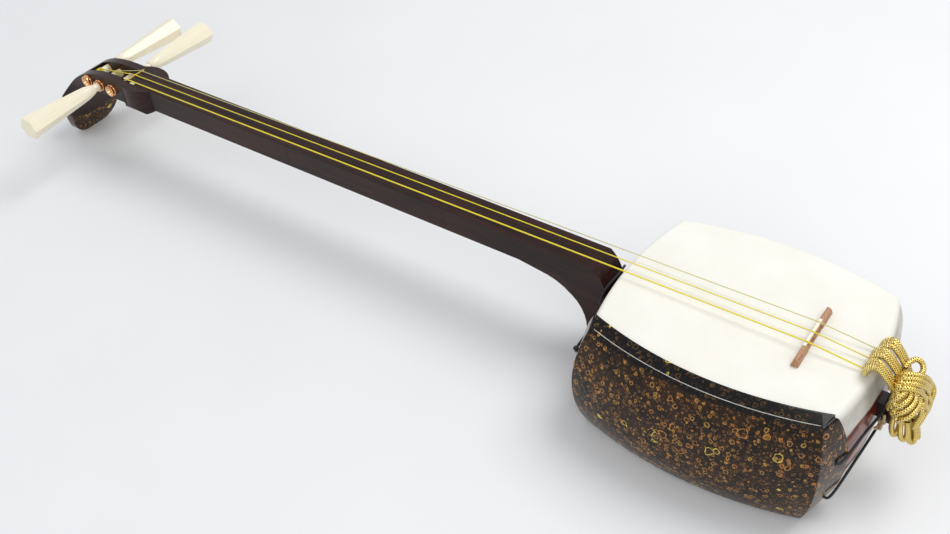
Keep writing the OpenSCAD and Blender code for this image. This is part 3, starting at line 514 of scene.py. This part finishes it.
def skin_piece(name, flip):
    """A skin: flat face, rolled edge, and a rim glued down the barrel with a hand-cut edge."""
    section = []
    for i in range(EDGE_STEPS + 1):
        t = math.pi / 2 - (math.pi / 2 - TOUCH) * i / EDGE_STEPS
        section.append((EDGE_R * math.cos(t), BODY_DEPTH - EDGE_R + EDGE_R * math.sin(t)))
    low = math.asin((BODY_DEPTH - SKIN_WRAP - MID_Z) / BARREL_R)
    for i in range(1, RIM_STEPS + 1):
        t = TOUCH + (low - TOUCH) * i / RIM_STEPS
        section.append((BARREL_R * math.cos(t) - (BARREL_R - EDGE_R) * math.cos(TOUCH),
                        MID_Z + BARREL_R * math.sin(t)))
    turns = [2 * math.pi * k / SKIN_AROUND for k in range(SKIN_AROUND)]
    rows = []
    for i in range(1, FACE_RINGS):
        share = i / FACE_RINGS
        rows.append([(outline(0, a) * share * math.cos(a), outline(0, a) * share * math.sin(a),
                      BODY_DEPTH) for a in turns])
    for j, (grow, z) in enumerate(section):
        row = []
        for a in turns:
            cut = sum(high * math.sin(count * a + phase) for high, count, phase in CUT_WAVES)
            drop = max(0.0, (j - EDGE_STEPS) / RIM_STEPS) * (cut - CUT_LIFT)
            r = outline(grow, a)
            row.append((r * math.cos(a), r * math.sin(a), z - drop))
        rows.append(row)
    rows.append([(x * EDGE_TURN_IN, y * EDGE_TURN_IN, z) for x, y, z in rows[-1]])
    if flip:
        rows = [[(x, -y, BODY_DEPTH - z) for x, y, z in row] for row in rows]
    made = Lofts().loft(rows, caps=False)
    centre = len(made.verts)
    made.verts.append((0, 0, 0 if flip else BODY_DEPTH))
    for k in range(SKIN_AROUND):
        made.faces.append((centre, (k + 1) % SKIN_AROUND, k))
        made.uvs += [(0, 0)] * 3
    piece(made.made(f"{name}_drawn", SKIN), "root", "skin", name)


skin_piece("front_skin", False)
skin_piece("back_skin", True)


# ---- pegs and the string wound on them ----
PEG_AROUND = 72
SIXTH = math.pi / 3
# The corners of a six-sided handle reach this share of their sharp reach
CORNER_REACH = 0.992
PEG_SHARP_DEG = 24
HANDLE_FROM_CHEEK = 5


def peg_piece(i):
    """Stepped shaft, round waist, flared six-sided handle with blunt edges."""
    start = CHEEK_Y + HANDLE_FROM_CHEEK + PEG_OUT[i]
    end = start + HANDLE_LEN
    flare = [(start + 7 + (end - 8.2 - start) * t / 10,
              HANDLE_W0 / 2 - 0.6 + (HANDLE_W - HANDLE_W0 + 1.2) / 2 * t / 10)
             for t in range(2, 11)]
    # Distance along the axis, radius, and how six-sided the section is
    profile = [(-CHEEK_Y - 0.5, 3.4, 0), (-CHEEK_Y - 0.2, SHAFT_R2, 0),
               (-SLOT_Y - 0.2, SHAFT_R2, 0), (-SLOT_Y, SHAFT_R, 0), (start - 0.5, SHAFT_R, 0),
               (start, 5.4, 0), (start + 1, 5.7, 0), (start + 4, 6.5, 0),
               (start + 7, 7.2, 0.15), (start + 10, 7.9, 0.5), (start + 14, 8.3, 0.85)]
    profile += [(s, r, 1) for s, r in flare if s > start + 15]
    profile += [(end - 0.9, HANDLE_W / 2 - 0.2, 1), (end - 0.2, HANDLE_W / 2 - 0.9, 1),
                (end, HANDLE_W / 2 - 1.6, 1), (end, HANDLE_W / 4, 1)]
    side = PEG_SIDE[i]
    rows = []
    for s, r, corners in profile:
        row = []
        for k in range(PEG_AROUND):
            turn = 2 * math.pi * k / PEG_AROUND
            facet = math.cos(SIXTH / 2) / math.cos((turn + SIXTH / 2) % SIXTH - SIXTH / 2)
            reach = r * (1 + corners * (min(facet, CORNER_REACH) - 1))
            t = turn + math.radians(PEG_TURN[i])
            row.append((PEG_X[i] + reach * math.cos(t), side * s,
                        PEG_Z - side * reach * math.sin(t)))
        rows.append(row)
    peg = Lofts().loft(rows).made(f"peg_{i + 1}_turned", IVORY)
    peg.data.set_sharp_from_angle(angle=math.radians(PEG_SHARP_DEG))
    return peg


def coil_path(centre, radius, width, pitch, per_turn=28):
    """A helix round the Y axis through centre."""
    turns = width / pitch
    count = int(turns * per_turn)
    x, y, z = centre
    return [Vector((x + radius * math.cos(2 * math.pi * turns * k / count),
                    y + width * (k / count - 0.5),
                    z + radius * math.sin(2 * math.pi * turns * k / count)))
            for k in range(count + 1)]


WINDING_WIDTH = 6
WINDING_PITCH = 1.03  # in string diameters
STRING_SURFACE = [SILK, SILK, PALE_SILK]
for i in range(3):
    piece(peg_piece(i), PEG_BODY[i], "ivory", f"peg_{i + 1}")
    d = STRING_D[i]
    coil = coil_path((PEG_X[i], WINDING_Y[i], PEG_Z), SHAFT_R + d / 2, WINDING_WIDTH - d,
                     d * WINDING_PITCH)
    wound = Lofts().tube(coil, d / 2, 8)
    piece(wound.made(f"winding_{i + 1}_coil", STRING_SURFACE[i]), PEG_BODY[i],
          "silk_string", f"winding_{i + 1}")


# ---- strings, each in two spans that meet on the bridge ----
def string_route(i):
    """From the peg over the nut, along the neck, over the bridge, to the tail loop."""
    n, b, r = NUT_ROW[i], BRIDGE_ROW[i], STRING_D[i] / 2
    nut_z = BOARD_Z + NUT_H - STRING_SEAT + r
    top = SADDLE_Z - STRING_SEAT + r
    return [(PEG_X[i] + 1.5, WINDING_Y[i], PEG_Z + SHAFT_R + 3 * r + 0.1),
            (NUT_X - 1.2, n, nut_z), (NUT_X + 1.6, n, nut_z),
            (NUT_X + 160, n + NEAR_SHARE * (b - n), nut_z + NEAR_SHARE * (top - nut_z)),
            (NECK_END_X, n + NECK_END_SHARE * (b - n), nut_z + NECK_END_SHARE * (top - nut_z)),
            (BRIDGE_X - 3, b, top - 0.1), (BRIDGE_X, b, top), (BRIDGE_X + 3, b, top - 0.32),
            (TAIL_LOOP_X, b, BODY_DEPTH + TAIL_LOOP_RISE + r)]


def divided(points, longest=12.0):
    """The same line with long spans divided."""
    out = []
    for a, b in zip(points, points[1:]):
        a, b = Vector(a), Vector(b)
        parts = max(1, math.ceil((b - a).length / longest))
        out += [a.lerp(b, k / parts) for k in range(parts)]
    return out + [Vector(points[-1])]


ON_BRIDGE = 6  # the route's point on the bridge
for i in range(3):
    route = string_route(i)
    for part, points, bodies in (("speaking", route[:ON_BRIDGE + 1], ("root", "koma")),
                                 ("tail", route[ON_BRIDGE:], ("koma", "root"))):
        span = Lofts().tube(divided(points), STRING_D[i] / 2, 10)
        obj = span.made(f"string_{i + 1}_{part}", STRING_SURFACE[i])
        piece(obj, None, "silk_string", f"string_{i + 1}")
        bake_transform(obj)


# ---- cords that tie the arm rest on ----
def knot_path(centre, size, tilt=0.0, steps=60):
    """A small overhand knot."""
    turn = Matrix.Rotation(tilt, 3, "X")
    out = []
    for k in range(steps + 1):
        t = 2 * math.pi * k / steps
        p = Vector((math.sin(t) + 2 * math.sin(2 * t), math.cos(t) - 2 * math.cos(2 * t),
                    -math.sin(3 * t)))
        out.append(Vector(centre) + turn @ p * size / 3)
    return out


for name, route in (("head", HEAD_ROUTE), ("tail", TAIL_ROUTE)):
    cord = Lofts().tube(smooth_path(route), CORD_R, 12)
    piece(cord.made(f"dokake_cord_{name}_drawn", BLACK_CORD), "root", "black_cord",
          f"dokake_cord_{name}")
knots = Lofts()
for mouth in HOLE_MOUTHS:
    knots.tube(knot_path(mouth, 2.1, 1.2), 1.15, 8)
piece(knots.made("cord_knots_tied", BLACK_CORD), "root", "black_cord", "cord_knots")


# ---- tail fitting ----
WRAP_STEPS = 24
LANES, MIDDLE_LIFT = (-4.1, 0.0, 4.1), 0.5
NARROWING = 0.35
LOOP_STRAND_R, KNOT_STRAND_R = 2.15, 2.35
WHIP_R, BAND_R = 0.8, 0.45


def bundle_wrap(path, half, thick, pitch, start, end):
    """A cord wound round a flat bundle that follows path: half its width, half its thickness,
    the pitch, and the shares of the path where the winding starts and ends."""
    frames = carried_frames(path)
    runs = [0.0]
    for a, b in zip(path, path[1:]):
        runs.append(runs[-1] + (b - a).length)
    low, high = start * runs[-1], end * runs[-1]
    turns = (high - low) / pitch
    count = int(turns * WRAP_STEPS)
    out = []
    for k in range(count + 1):
        at = low + (high - low) * k / count
        j = max(i for i, run in enumerate(runs) if run <= at + 1e-9)
        j = min(j, len(path) - 2)
        t = (at - runs[j]) / max(runs[j + 1] - runs[j], 1e-6)
        ahead = frames[j][0]
        wide = Vector((0, 1, 0))
        wide = (wide - ahead * wide.dot(ahead)).normalized()
        deep = ahead.cross(wide)
        angle = 2 * math.pi * turns * k / count
        out.append(path[j].lerp(path[j + 1], t) + wide * half * math.cos(angle)
                   + deep * thick * math.sin(angle))
    return out


loops, wraps, bands = Lofts(), Lofts(), Lofts()
for i, line in enumerate(LOOPS):
    path = smooth_path(line, 8)
    for lane in LANES:
        shift = Vector((0, lane, 0))
        lift = Vector((0, 0, MIDDLE_LIFT if lane == 0 else 0.0))
        strand = [p + shift * (1 - NARROWING * k / len(path)) + lift for k, p in enumerate(path)]
        loops.tube(strand, LOOP_STRAND_R, 12)
    wraps.tube(bundle_wrap(path, 6.3, 2.6, 1.5, 0.0, 0.26), WHIP_R, 8)
    bands.tube(bundle_wrap(path, 6.4, 2.75, 0.9, 0.27, 0.3), BAND_R, 8)
piece(loops.made("neo_loops_strands", BRAID), "root", "gold_braid", "neo_loops")
piece(wraps.made("neo_loops_whipping", FINE_BRAID), "root", "gold_braid", "neo_loops")
piece(bands.made("neo_loops_band", FINE_BRAID), "root", "gold_braid", "neo_loops")

# The knot's back is its face mirrored through its middle plane, a little flatter
KNOT_CENTRE, KNOT_FACE = Vector((146.5, 0, 84)), Vector((0.966, -0.1, 0.24)).normalized()
BACK_DEPTH = 0.9
knot = Lofts()
for name, points in KNOT_STRANDS.items():
    path = smooth_path(points, 9)
    knot.tube(path, KNOT_STRAND_R, 12)
    if name != "ring":
        back = [p - KNOT_FACE * 2 * max((p - KNOT_CENTRE).dot(KNOT_FACE), 0) * BACK_DEPTH
                for p in path]
        knot.tube(back, KNOT_STRAND_R, 10)
piece(knot.made("neo_knot_strands", BRAID), "root", "gold_braid", "neo_knot")

TIE_ENDS = [[TIE_PLACE, (129.5, -16, 58), (128, -16.5, 55)],
            [TIE_PLACE, (132, -16.5, 60), (131.5, -17, 57)],
            [TIE_PLACE, (132.5, -14.5, 68), (131.5, -14, 72)]]
tie = Lofts().tube(knot_path(TIE_PLACE, 2.6, 0.6), 1.3, 8)
for end in TIE_ENDS:
    tie.tube(smooth_path(end, 4), lambda t: 1.0 + 0.5 * t, 8)
piece(tie.made("neo_tie_cotton", COTTON), "root", "cotton", "neo_tie")


# ---- floor, light, camera ----
FLOOR_HALF, FLOOR_Z = 4000, -0.3
# Name, place, target, size, power and tint of each light, in metres and watts
LIGHTS = [
    ("key", (0.5, 1.0, 2.2), (-0.2, 0, 0), 1.6, 32, (1, 1, 1)),
    ("fill", (-1.8, -1.2, 1.8), (-0.3, 0, 0), 2.0, 8, (0.94, 0.97, 1)),
    ("front", (1.4, -1.8, 1.6), (0, 0, 0), 1.8, 12, (1, 1, 1)),
]
SKY, SKY_STRENGTH = rgb(0.96, 0.975, 1.0), 0.66
# The camera, fitted to the photograph: angles in radians, lens in millimetres
CAMERA_PLACE = Vector((0.22478, -0.66898, 0.77774))
AZIMUTH, ELEVATION, ROLL = 0.6525, 0.7272, -0.0712
SENSOR, LENS = 36.0, 41.92


def stage_floor():
    s = Surface("floor", 0.55)
    s.color(s.mix(s.span(s.noise(3.0, detail=3.0), 0.3, 0.7), rgb(0.76, 0.765, 0.77),
                  rgb(0.79, 0.795, 0.8)))
    corners = [(x * FLOOR_HALF, y * FLOOR_HALF, FLOOR_Z)
               for x, y in ((-1, -1), (1, -1), (1, 1), (-1, 1))]
    add_mesh("floor", corners, [(0, 1, 2, 3)], s.mat)


def area_light(name, place, target, size, power, tint):
    data = bpy.data.lights.new(name, "AREA")
    data.shape = "DISK"
    data.size = size
    data.energy = power
    data.color = tint
    obj = bpy.data.objects.new(name, data)
    obj.location = place
    obj.rotation_euler = (Vector(target) - Vector(place)).to_track_quat("-Z", "Y").to_euler()
    bpy.context.scene.collection.objects.link(obj)


def studio_sky():
    world = bpy.data.worlds.new("studio")
    world.use_nodes = True
    background = world.node_tree.nodes["Background"]
    background.inputs["Color"].default_value = SKY
    background.inputs["Strength"].default_value = SKY_STRENGTH
    bpy.context.scene.world = world
    bpy.context.scene.view_settings.view_transform = "Standard"


def photo_camera():
    """The camera at the photograph's place, angle and roll."""
    level = math.cos(ELEVATION)
    ahead = Vector((-math.sin(AZIMUTH) * level, math.cos(AZIMUTH) * level, -math.sin(ELEVATION)))
    right = Vector((math.cos(AZIMUTH), math.sin(AZIMUTH), 0))
    up = right.cross(ahead)
    c, s = math.cos(ROLL), math.sin(ROLL)
    right, up = c * right + s * up, c * up - s * right
    lens = bpy.data.cameras.new("camera")
    lens.sensor_width = SENSOR
    lens.lens = LENS
    camera = bpy.data.objects.new("camera", lens)
    turned = Matrix((right, up, -ahead)).transposed().to_4x4()
    camera.matrix_world = Matrix.Translation(CAMERA_PLACE) @ turned
    bpy.context.scene.collection.objects.link(camera)
    bpy.context.scene.camera = camera


stage_floor()
for light in LIGHTS:
    area_light(*light)
studio_sky()
photo_camera()
